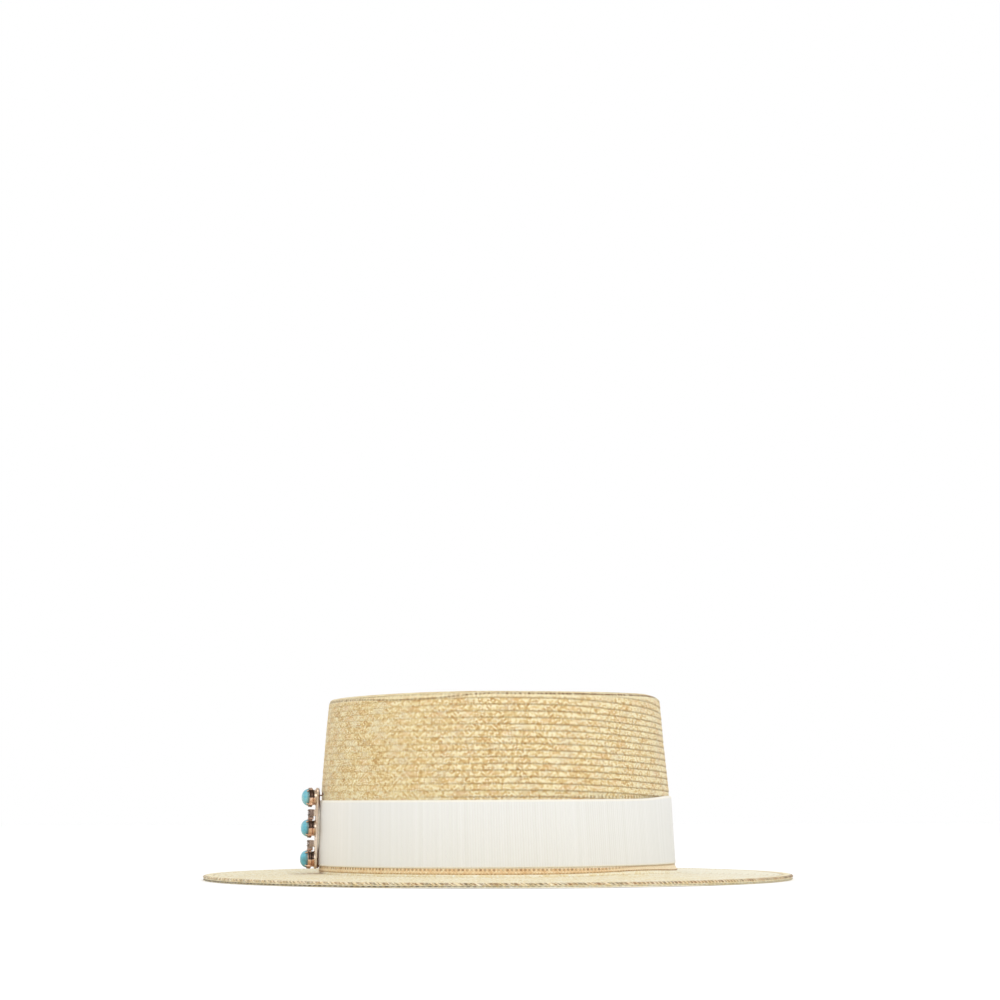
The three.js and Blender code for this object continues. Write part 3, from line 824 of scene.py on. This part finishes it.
def on_brim(angle, travel, out):
    """A point out from the brim's upper face, at a travel down the collar, round the fold and outwards."""
    fold, foot_inset, foot_lean, collar, bent, rim = brim_parts(angle)
    bend = np.clip((travel - collar) / fold, 0, math.pi / 2)
    flat = np.maximum(travel - bent, 0)
    share = flat / (rim - bent)
    upright = np.maximum(JOIN_HEIGHT - travel, BRIM_TOP + fold)
    inset, lean = wall_at(upright)
    offset = np.where(travel < collar, inset, foot_inset + fold * (1 - np.cos(bend)) + flat)
    drop = (BRIM_TOP - BRIM_EDGE_TOP) * share
    height = np.where(travel < collar, upright, BRIM_TOP + fold * (1 - np.sin(bend)) - drop)
    lean = np.where(travel < collar, lean, foot_lean * (1 - share))
    return on_oval(angle, offset + out * np.cos(bend), height + out * np.sin(bend), lean)


FOOT_LINE = 4.8
FOOT_LINE_RISE = 1.2
FOOT_LINE_ANGLE = math.radians(41)
FOOT_LINE_SPREAD = math.radians(22)
BRIM_ROWS = 17
BRIM_COLUMNS = 870


def foot_travel(angle):
    """Where the crown's last row ends on the collar or the fold."""
    fold, _, _, collar, _, _ = brim_parts(angle)
    near = np.exp(-((away_from(angle, FOOT_LINE_ANGLE) / FOOT_LINE_SPREAD) ** 2))
    height = FOOT_LINE + FOOT_LINE_RISE * near
    bend = np.arcsin(np.clip((BRIM_TOP + fold - height) / fold, 0, 1))
    return np.where(height > BRIM_TOP + fold, JOIN_HEIGHT - height, collar + fold * bend)


class BrimFace(Face):
    """The brim's upper or lower face, from the foot of the crown to the edge row."""

    def __init__(self, out=0.0, side=1.0):
        offsets = np.linspace(0, BRIM_WIDTH - EDGE_ROW, BRIM_ROWS + 3)
        super().__init__([oval_length(float(offset)) for offset in offsets], out, side)

    def travel(self, angle, turns, drift):
        first, rim = foot_travel(angle), brim_parts(angle)[-1]
        return self.cut(first + (rim - first) / BRIM_ROWS * (turns - 1) + drift, first, rim)

    def point(self, angle, travel, out):
        return on_brim(angle, travel, out)


# The section of the crown's last rows, over the fold and back under it.
FOOT_ACROSS = (0.0, 0.15, 0.3, 0.36, 0.4, 0.6, 0.85, 0.97, 1.0, 1.0, 0.4, 0.0, 0.0)
FOOT_RISE = (0.1, 0.32, 0.36, 0.2, 0.4, 0.45, 0.42, 0.28, 0.0, 0.02, 0.02, 0.02, 0.1)
FOOT_UNDER_RISE = 0.02
FOOT_PLAIT = 0.05
FOOT_SCALLOP = 0.15
COLLAR_RINGS = 6
COLLAR_SINK = 0.1
UNDER_SINK = 0.05


def ring_uvs(faces, columns, step, levels):
    """UVs for the faces of a closed ring: along it in millimetres, and across it by levels."""
    ring, column = faces[:, 0] // columns, faces[:, 0] % columns
    return cell_uvs(column * step, (column + 1) * step, levels[ring], levels[ring + 1])


def foot_rows(material):
    """The crown's golden last rows, which stand over the brim's first one and end in small teeth."""
    column = np.arange(BRIM_COLUMNS)[None, :]
    angle = SEAM_ANGLE + 2 * math.pi * column / BRIM_COLUMNS
    across = np.array(FOOT_ACROSS)
    inside, stand = across[:, None], np.array(FOOT_RISE)[:, None]
    shows = (stand > FOOT_UNDER_RISE) * 1.0
    wave = shows * np.cos(2 * math.pi * (column / TOOTH_COLUMNS + PLAIT_SLANT * np.abs(inside - 0.5)))
    travel = inside * foot_travel(angle) + FOOT_SCALLOP * wave * smooth(0.7, 0.97, inside)
    points = on_brim(angle, travel, stand + FOOT_PLAIT * wave * smooth(0, 0.2, inside))
    body = Body()
    faces = grid_faces(len(points), BRIM_COLUMNS)
    body.add(points, faces, ring_uvs(faces, BRIM_COLUMNS, oval_length(0) / BRIM_COLUMNS, across))
    return body.make("crown_foot_rows", material, ["brim"])


def brim(material):
    """The level brim: rows of braid above and below, and the collar behind the ribbon."""
    body = Body()
    rows = BRIM_ROWS + 2
    below = BrimFace(-STRAW - UNDER_SINK, -1.0)
    upper = braid_sheet(body, BrimFace(), 0, rows, BRIM_COLUMNS, FLAT_SECTION)
    lower = braid_sheet(body, below, 0, rows, BRIM_COLUMNS, UNDER_SECTION, PLAIT_UNDER)
    angle = SEAM_ANGLE + 2 * math.pi * np.arange(BRIM_COLUMNS + 1) / BRIM_COLUMNS
    share = np.linspace(1, 0, COLLAR_RINGS)[:, None]
    under = on_brim(angle[None, :], share * foot_travel(angle)[None, :], -COLLAR_SINK * smooth(1, 0.8, share))
    inside = on_brim(angle, 0.0 * angle, -STRAW)
    body.add(under, grid_faces(COLLAR_RINGS, len(angle), closed=False))
    join(body, upper[0], under[0])
    join(body, under[-1], inside)
    join(body, inside, lower[0])
    join(body, upper[-1], lower[-1])
    return body.make("brim_braid", material, ["brim"])


# The edge row's section: two layers of braid with a seam between them, as offset from its start and height.
EDGE_SECTION = (
    (-0.8, 1.9), (-0.2, 2.62), (1.0, 2.78), (2.4, 2.86), (3.8, 2.84), (4.9, 2.72), (5.6, 2.4), (5.95, 1.95),
    (5.9, 1.5), (5.45, 1.2), (5.4, 1.05), (5.75, 0.85), (5.85, 0.5), (5.6, 0.15), (5.0, 0.02), (3.0, 0.0),
    (1.0, 0.0), (0.0, 0.1), (-0.8, 0.5), (-0.8, 1.9),
)
EDGE_COLUMNS = 1236
EDGE_TOOTH = oval_length(BRIM_WIDTH) * TOOTH_COLUMNS / EDGE_COLUMNS
EDGE_SCALLOP = 0.22
EDGE_LIFT = 0.04
EDGE_RIPPLE = 0.07
LOWER_SCALLOP = 0.16
LOWER_SHIFT = 0.4


def brim_edge(material):
    """The brim's doubled last row, with a toothed outer edge."""
    section = np.array(EDGE_SECTION)
    column = np.arange(EDGE_COLUMNS)[None, :]
    angle = SEAM_ANGLE + 2 * math.pi * column / EDGE_COLUMNS
    tooth = column / TOOTH_COLUMNS
    out, height = section[:, :1], section[:, 1:]
    upper = smooth(3.5, 5.6, out) * smooth(1.3, 1.9, height) * np.cos(2 * math.pi * tooth)
    lower = smooth(3.5, 5.6, out) * smooth(1.0, 0.6, height) * np.cos(2 * math.pi * (tooth + LOWER_SHIFT))
    offset = BRIM_WIDTH - EDGE_ROW + out + EDGE_SCALLOP * upper + LOWER_SCALLOP * lower
    on_top = smooth(2.6, 2.8, height) * smooth(0, 1, out)
    ripple = EDGE_RIPPLE * np.cos(2 * math.pi * (tooth + 0.3 * out)) * on_top
    points = on_oval(angle, offset, np.maximum(height + ripple + EDGE_LIFT * upper, 0), 0.0 * angle)
    way = np.append(0, np.cumsum(np.linalg.norm(np.diff(section, axis=0), axis=1)))
    faces = grid_faces(len(points), EDGE_COLUMNS)
    body = Body()
    body.add(points, faces, ring_uvs(faces, EDGE_COLUMNS, EDGE_TOOTH / TOOTH_COLUMNS, way / ROW_PITCH))
    return body.make("brim_edge_row", material, ["brim"])


# The ribbon band

RIB_STEPS = 6
RIBS = round(oval_length(0) / RIB_PITCH)
RIB_DEPTH = 0.09
RIB_TEETH = 0.1
SELVEDGE = (0.0, 0.02, 0.06, 0.2, 0.4, 0.6, 0.8, 0.94, 0.98, 1.0)
SELVEDGE_SINK = 0.12
SELVEDGE_DROP = 0.5
LAP_ANGLE = math.radians(205)
LAP_WIDTH = math.radians(5)
LAP_STAND = 0.5


def ribbon_band(material):
    """Grosgrain ribbon round the crown's foot, with upright ribs and a lapped end on the far side."""
    columns = RIBS * RIB_STEPS
    rib = np.arange(columns)[None, :] / RIB_STEPS
    angle = SEAM_ANGLE + 2 * math.pi * rib / RIBS
    share = np.array(SELVEDGE)[:, None]
    ripple = share**2 * np.exp(-((away_from(angle, RIPPLE_ANGLE) / RIPPLE_SPREAD) ** 2))
    height = BAND_FOOT + BAND_HEIGHT * share + BAND_TILT * np.sin(angle)
    height = height - SELVEDGE_DROP * smooth(0.1, 0, share)
    lap = smooth(LAP_WIDTH, LAP_WIDTH * 0.9, np.abs(away_from(angle, LAP_ANGLE)))
    ends = (share == 1) * 1.0 - (share == 0)
    inset, lean = wall_at(height)
    sway = (0.12 * np.sin(3 * angle + 4 * share) + 0.08 * np.sin(7 * angle + 1)) * (1 - 0.5 * share)
    front = inset + BAND_GAP + BAND_THICKNESS + RIPPLE_STAND * ripple + LAP_STAND * lap + sway
    height = height + RIPPLE_RISE * ripple + RIB_TEETH * np.cos(2 * math.pi * rib) * ends
    ribbed = RIB_DEPTH * (np.abs(np.cos(math.pi * rib)) - 1) - SELVEDGE_SINK * np.abs(ends)
    outer = on_oval(angle, front + ribbed, height, lean)
    back = on_oval(angle, np.minimum(front - BAND_THICKNESS * 0.75, inset + BAND_BACK), height, lean)
    points = np.concatenate([outer, back[::-3], outer[:1]])
    faces = grid_faces(len(points), columns)
    levels = np.concatenate([share[:, 0], share[::-3, 0], [0]])
    body = Body()
    body.add(points, faces, ring_uvs(faces, columns, 1 / RIB_STEPS, levels))
    band = body.make("ribbon_band", material, ["hat_band"])
    oval_length(0) * MM
    return band


# The brooch, in its own frame: +Y up along the bar, +Z out of the hat, and Z = 0 on the bar's back

BAR_LENGTH = 44.8
BAR_WIDTH = 4.6
BAR_THICKNESS = 1.4
BAR_MIDDLE = 28.6
BAR_STANDS_OFF = 2.45
BROOCH_SLOPE = 0.019
STONE_PITCH = 17.0
STONE_RADIUS = 4.75
STONE_DOME = 4.0
STONE_GIRDLE = 0.95
STONE_SUNK = 1.05
CUP_DEPTH = 4.0
CUP_RADIUS = 5.4
CUP_FOOT_RADIUS = 4.5
SETTING_SIDE = 3.9
SETTING_DEPTH = 3.4
LINK_SIDE = 1.6
LINK_HEIGHT = 2.5
PIN_RADIUS = 0.35
PIN_DEPTH = -0.6
PIN_BOW = 0.12
COIL_TURNS = 3
COIL_PITCH = 0.8
COIL_RADIUS = 0.55
COIL_WIRE = 0.36
CATCH_HEIGHT = 18.2
CATCH_SIDE = 2.0
CATCH_REACH = 2.2
CATCH_RADII = (0, 0.38, 0.38, 0.38, 0.38, 0.36, 0.34, 0.2, 0)
QUARTERS = [math.pi / 4 + quarter * math.pi / 2 for quarter in range(4)]
STONE_PLACES = {"bottom": -1, "middle": 0, "top": 1}
SETTING_PLACES = {"lower": -0.5, "upper": 0.5}

# Bent wires, from their foot to their head, as reach from the centre, height and radius.
CLAW = (
    (5.0, 1.7, 0), (5.0, 1.7, 0.28), (5.2, 2.2, 0.34), (5.36, 2.8, 0.36), (5.4, 3.6, 0.36), (5.3, 4.3, 0.35),
    (5.08, 4.85, 0.33), (4.82, 5.25, 0.3), (4.62, 5.5, 0.2), (4.55, 5.58, 0),
)
PRONG = (
    (2.15, 0.6, 0), (2.15, 0.6, 0.3), (2.2, 1.5, 0.36), (2.2, 2.8, 0.38), (2.1, 3.5, 0.37),
    (1.85, 3.85, 0.33), (1.6, 4.0, 0.22), (1.5, 4.02, 0),
)

# Insets and heights of the bar's rounded edge, and radii and heights of the ring round a small stone.
BAR_EDGE = ((0.25, 0), (0.06, 0.06), (0, 0.25), (0, 0.9), (0.08, 1.15), (0.25, 1.32))
SETTING_RING = ((1.7, 3.0), (1.78, 3.2), (1.7, 3.42), (1.5, 3.42), (1.42, 3.2), (1.42, 3.0), (1.7, 3.0))

# The small stone's rings, from its table to its point, as radius, height, corners and twist.
CUT_RINGS = (
    (0.72, 0.72, 8, 0), (1.12, 0.5, 8, 0.5), (1.35, 0.16, 16, 0), (1.35, 0.02, 16, 0), (0.7, -0.6, 8, 0.5),
)
CUT_POINT = -1.1
CUT_LIFT = 0.05


def brooch_matrix():
    """Stands the brooch on the front of the ribbon, leaning with the wall behind it."""
    foot_inset, foot_lean = wall_at(BAND_FOOT)
    top_inset, top_lean = wall_at(BAND_FOOT + BAND_HEIGHT)
    slope = math.atan((foot_inset - foot_lean - top_inset + top_lean) / BAND_HEIGHT)
    inset, lean = wall_at(BAR_MIDDLE)
    depth = lean - HALF_LENGTH - inset - BAR_STANDS_OFF
    return Matrix.Translation((0, depth * MM, BAR_MIDDLE * MM)) @ Matrix.Rotation(math.pi / 2 - slope, 4, "X")


def lathe(body, profile, sides, centre=(0, 0, 0)):
    """Turns pairs of radius and height about +Z."""
    angle = 2 * math.pi * np.arange(sides) / sides
    radius, height = np.array(profile, float).T[:, :, None]
    ring = [radius * np.cos(angle), radius * np.sin(angle), height + 0 * angle]
    body.add(np.stack(ring, axis=-1) + np.array(centre), grid_faces(len(profile), sides))


def sweep(body, path, radii, sides=12, across=(1, 0, 0)):
    """A round bar along a path in a plane that across lies square to. A radius of 0 closes an end."""
    path = np.array(path, float)
    ahead = np.gradient(path, axis=0)
    ahead /= np.maximum(np.linalg.norm(ahead, axis=1), 1e-9)[:, None]
    across = np.broadcast_to(np.array(across, float), path.shape)
    upward = np.cross(ahead, across)
    angle = (2 * math.pi * np.arange(sides) / sides)[None, :, None]
    ring = np.cos(angle) * across[:, None] + np.sin(angle) * upward[:, None]
    body.add(path[:, None] + np.array(radii, float)[:, None, None] * ring, grid_faces(len(path), sides))


def bent_wires(body, wire, sides, centre):
    """Four bent wires, one in each corner round a centre."""
    reach, height, radii = np.array(wire, float).T
    for angle in QUARTERS:
        path = np.column_stack([reach * math.cos(angle), reach * math.sin(angle), height]) + np.array(centre)
        sweep(body, path, radii, sides, (-math.sin(angle), math.cos(angle), 0))


def rounded_block(body, half_sides, centre, bevel, steps=3):
    """A block with rounded edges, as a stack of outlines from its lower face to its upper one."""
    wide, deep, tall = half_sides
    narrow = min(wide, deep)
    levels = np.linspace(0, math.pi / 2, steps + 1)
    rings = [(bevel * (1 - math.cos(level)) - tall, bevel * (math.sin(level) - 1)) for level in levels]
    rings.insert(0, (rings[0][0], -narrow))
    rings += [(-height, grow) for height, grow in rings[::-1]]
    turn = np.array([corner for corner in QUARTERS for _ in range(5)])
    angle = turn + np.tile(np.linspace(-math.pi / 4, math.pi / 4, 5), 4)
    flat = np.sign(np.column_stack([np.cos(turn), np.sin(turn)])) * (wide - bevel, deep - bevel)
    rounding = np.column_stack([np.cos(angle), np.sin(angle)])
    points = []
    for height, grow in rings:
        shrink = max(1 + min(bevel + grow, 0) / max(narrow - bevel, 0.01), 0)
        outline = flat * shrink + rounding * max(bevel + grow, 0)
        points.append(np.column_stack([outline, np.full(len(outline), height)]))
    body.add(np.array(points) + np.array(centre), grid_faces(len(points), len(turn)))


def stadium(body, length, width, sections):
    """A long bar with round ends. Each section is an inset from its outline and a height."""
    turn = np.linspace(-math.pi / 2, math.pi / 2, 13)
    end = np.column_stack([np.sin(-turn), np.cos(turn)])
    points = []
    for inset, height in sections:
        upper = end * max(width / 2 - inset, 0) + (0, (length - width) / 2)
        loop = np.vstack([upper, -upper])
        points.append(np.column_stack([loop, np.full(len(loop), height)]))
    body.add(np.array(points), grid_faces(len(points), len(points[0])))


def cup(body, centre):
    """A round cup: a foot on the bar, a waist, a band and a thin rolled rim round the stone."""
    foot, rim = CUP_FOOT_RADIUS, CUP_RADIUS
    profile = [
        (0, -0.2), (foot - 0.2, -0.2), (foot, 0.0), (foot, 0.35), (foot - 0.25, 0.55), (foot - 0.25, 1.55),
        (foot, 1.8), (rim - 0.25, 2.1), (rim - 0.05, 2.25), (rim, 2.5), (rim - 0.02, 3.3), (rim - 0.12, 3.5),
        (rim - 0.02, 3.7), (rim - 0.02, 3.95), (rim - 0.16, 4.1), (rim - 0.36, 4.02), (rim - 0.44, 3.8),
        (rim - 0.5, 2.9), (0, 2.9),
    ]
    lathe(body, profile, 72, centre)


def square_setting(body, centre):
    """A small square box on a stepped foot, with a corner prong over each edge of its stone."""
    half = SETTING_SIDE / 2
    x, y, z = centre
    rounded_block(body, (half * 0.86, half * 0.86, 0.55), (x, y, z + 0.35), 0.2)
    rounded_block(body, (half * 0.72, half * 0.72, 0.9), (x, y, z + 1.3), 0.15)
    rounded_block(body, (half, half, 0.62), (x, y, z + 2.5), 0.22)
    lathe(body, SETTING_RING, 40, centre)
    bent_wires(body, PRONG, 12, centre)


def brooch_frame(material, matrix):
    """The soldered metal: bar, cups with claws, square settings and the links below them."""
    body = Body()
    half = BAR_WIDTH / 2
    stadium(body, BAR_LENGTH, BAR_WIDTH, [(half, 0), *BAR_EDGE, (0.5, BAR_THICKNESS), (half, BAR_THICKNESS)])
    for place in STONE_PLACES.values():
        centre = (0, place * STONE_PITCH, BAR_THICKNESS)
        cup(body, centre)
        bent_wires(body, CLAW, 14, centre)
    for place in SETTING_PLACES.values():
        square_setting(body, (0, place * STONE_PITCH, BAR_THICKNESS))
        link = (0, place * STONE_PITCH - SETTING_SIDE / 2 - LINK_SIDE / 2, BAR_THICKNESS + LINK_HEIGHT)
        rounded_block(body, (LINK_SIDE * 0.6, LINK_SIDE * 0.7, LINK_HEIGHT * 0.6), link, 0.3)
    return body.make("brooch_metal", material, ["brooch_frame"], matrix, math.radians(40))


def brooch_fittings(material, matrix):
    """The wire pin behind the bar, its coiled hinge and the hooked catch."""
    body = Body()
    low, high = -BAR_LENGTH / 2 + 1.6, BAR_LENGTH / 2 - 1.0
    rise = np.linspace(0, 1, 24)
    bow = PIN_DEPTH - PIN_BOW * np.sin(math.pi * rise)
    path = np.column_stack([0 * rise, low + (high - low) * rise, bow])
    path = np.vstack([path[:1], path, [[0, high + 1.2, PIN_DEPTH + 0.1]]])
    sweep(body, path, [0, *np.full(22, PIN_RADIUS), PIN_RADIUS * 0.8, PIN_RADIUS * 0.45, 0], 14)
    turn = np.linspace(0, COIL_TURNS, 24 * COIL_TURNS + 1)
    turn = np.array([turn[0], *turn, turn[-1]])
    angle = 2 * math.pi * turn
    along = COIL_PITCH * (turn - COIL_TURNS / 2)
    coil = [along, low + COIL_RADIUS * np.cos(angle), PIN_DEPTH + COIL_RADIUS * np.sin(angle)]
    sweep(body, np.column_stack(coil), [0, *np.full(len(turn) - 2, COIL_PITCH * COIL_WIRE), 0], 10)
    rounded_block(body, (0.8, 0.8, 0.55), (0, -BAR_LENGTH / 2 + 1.2, -0.4), 0.2)
    hook = [
        (0.1, 0), (0.1, 0), (-0.8, 0), (-1.5, 0), (-1.95, 0.15), (-CATCH_REACH, 0.55), (-CATCH_REACH, 1.1),
        (-CATCH_REACH + 0.2, 1.5), (-CATCH_REACH + 0.25, 1.55),
    ]
    sweep(body, [(CATCH_SIDE, CATCH_HEIGHT + up, depth) for depth, up in hook], CATCH_RADII)
    return body.make("brooch_pin_wire", material, ["brooch_pin"], matrix, math.radians(50))


def cabochon(name, material, matrix, place):
    """A polished round stone, domed, with a short straight girdle."""
    body = Body()
    rise = np.linspace(0, math.pi / 2, 20)[:-1]
    radius, height = STONE_RADIUS * np.cos(rise) ** 0.9, STONE_GIRDLE + STONE_DOME * np.sin(rise) ** 0.98
    dome = zip(radius, height)
    base = [(0, 0), (STONE_RADIUS - 0.1, 0), (STONE_RADIUS, 0.1), (STONE_RADIUS, 0.6)]
    centre = (0, place * STONE_PITCH, BAR_THICKNESS + CUP_DEPTH - STONE_SUNK)
    lathe(body, [*base, *dome, (0, STONE_GIRDLE + STONE_DOME)], 80, centre)
    return body.make(f"turquoise_stone_{name}", material, [f"turquoise_{name}"], matrix)


def crystal(name, material, matrix, place):
    """A small brilliant-cut stone: the hull of its table, facet corners, girdle and point."""
    work = bmesh.new()
    for radius, height, corners, twist in CUT_RINGS:
        for corner in range(corners):
            angle = 2 * math.pi * (corner + twist) / corners
            work.verts.new((radius * math.cos(angle), radius * math.sin(angle), height))
    work.verts.new((0, 0, CUT_POINT))
    hull = bmesh.ops.convex_hull(work, input=work.verts)
    inside = [part for part in hull["geom_interior"] if isinstance(part, bmesh.types.BMVert)]
    bmesh.ops.delete(work, geom=inside, context="VERTS")
    bmesh.ops.dissolve_limit(work, angle_limit=math.radians(2), verts=work.verts, edges=work.edges)
    mesh = bpy.data.meshes.new(name)
    work.to_mesh(mesh)
    work.free()
    lift = Matrix.Translation((0, place * STONE_PITCH, BAR_THICKNESS + SETTING_DEPTH + CUT_LIFT))
    mesh.transform(matrix @ Matrix.Scale(MM, 4) @ lift)
    return place_mesh(f"cut_stone_{name}", mesh, material, [f"crystal_{name}"])


def brooch():
    """All of the brooch's pieces."""
    matrix = brooch_matrix()
    brooch_frame(gold_material(), matrix)
    brooch_fittings(wire_material(), matrix)
    turquoise, clear = turquoise_material(), crystal_material()
    for name, place in STONE_PLACES.items():
        cabochon(name, turquoise, matrix, place)
    for name, place in SETTING_PLACES.items():
        crystal(name, clear, matrix, place)


# Camera, floor and light. The lights and the floor are in metres.

CAMERA_AZIMUTH = math.radians(78)
CAMERA_PITCH = math.radians(7.108)
CAMERA_DISTANCE = 1372.8
CAMERA_HEIGHT = 44.6
CAMERA_ASIDE = 0.313
CAMERA_LENS = 86.4
FLOOR_REACH = 3
FLOOR_DROP = 0.05 * MM
KEY_PLACE = (1.9, 0.1, 1.2)
KEY_TARGET = (0, 0, 0.05)
KEY_SIZE = 1.2
KEY_POWER = 11


def add_camera():
    back = Vector((math.sin(CAMERA_AZIMUTH), -math.cos(CAMERA_AZIMUTH), 0))
    right = Vector((math.cos(CAMERA_AZIMUTH), math.sin(CAMERA_AZIMUTH), 0))
    up = Vector((0, 0, 1))
    data = bpy.data.cameras.new("camera")
    data.lens = CAMERA_LENS
    data.sensor_width = 36
    camera = bpy.data.objects.new("camera", data)
    camera.location = (back * CAMERA_DISTANCE + up * CAMERA_HEIGHT + right * CAMERA_ASIDE) * MM
    ahead = up * math.sin(CAMERA_PITCH) - back * math.cos(CAMERA_PITCH)
    camera.rotation_euler = ahead.to_track_quat("-Z", "Y").to_euler()
    bpy.context.scene.collection.objects.link(camera)
    bpy.context.scene.camera = camera


def add_floor():
    corners = [(-1, -1, 0), (1, -1, 0), (1, 1, 0), (-1, 1, 0)]
    mesh = bpy.data.meshes.new("floor")
    mesh.from_pydata([Vector(corner) * FLOOR_REACH for corner in corners], [], [(0, 1, 2, 3)])
    net = Net("floor_white")
    net.colour = net.ramp(net.noise(net.position()[0], 0.002), [(0, (254, 254, 254)), (1, (255, 255, 255))])
    mesh.materials.append(net.finish(Roughness=0.9))
    floor = bpy.data.objects.new("floor", mesh)
    floor.location.z = -FLOOR_DROP
    bpy.context.scene.collection.objects.link(floor)


def add_lights():
    world = bpy.data.worlds.new("studio")
    world.use_nodes = True
    background = world.node_tree.nodes["Background"]
    background.inputs["Color"].default_value = (1, 1, 1, 1)
    background.inputs["Strength"].default_value = 1.0
    bpy.context.scene.world = world
    data = bpy.data.lights.new("key", "AREA")
    data.shape = "DISK"
    data.size = KEY_SIZE
    data.energy = KEY_POWER
    key = bpy.data.objects.new("key", data)
    key.location = KEY_PLACE
    key.rotation_euler = (Vector(KEY_PLACE) - Vector(KEY_TARGET)).to_track_quat("Z", "Y").to_euler()
    bpy.context.scene.collection.objects.link(key)
    bpy.context.scene.view_settings.view_transform = "Standard"


crown_straw = crown_material()
crown_tip(crown_straw)
crown_side(crown_straw)
brim(brim_material())
foot_rows(foot_material())
brim_edge(edge_material())
ribbon_band(ribbon_material())
brooch()

add_camera()
add_floor()
add_lights()
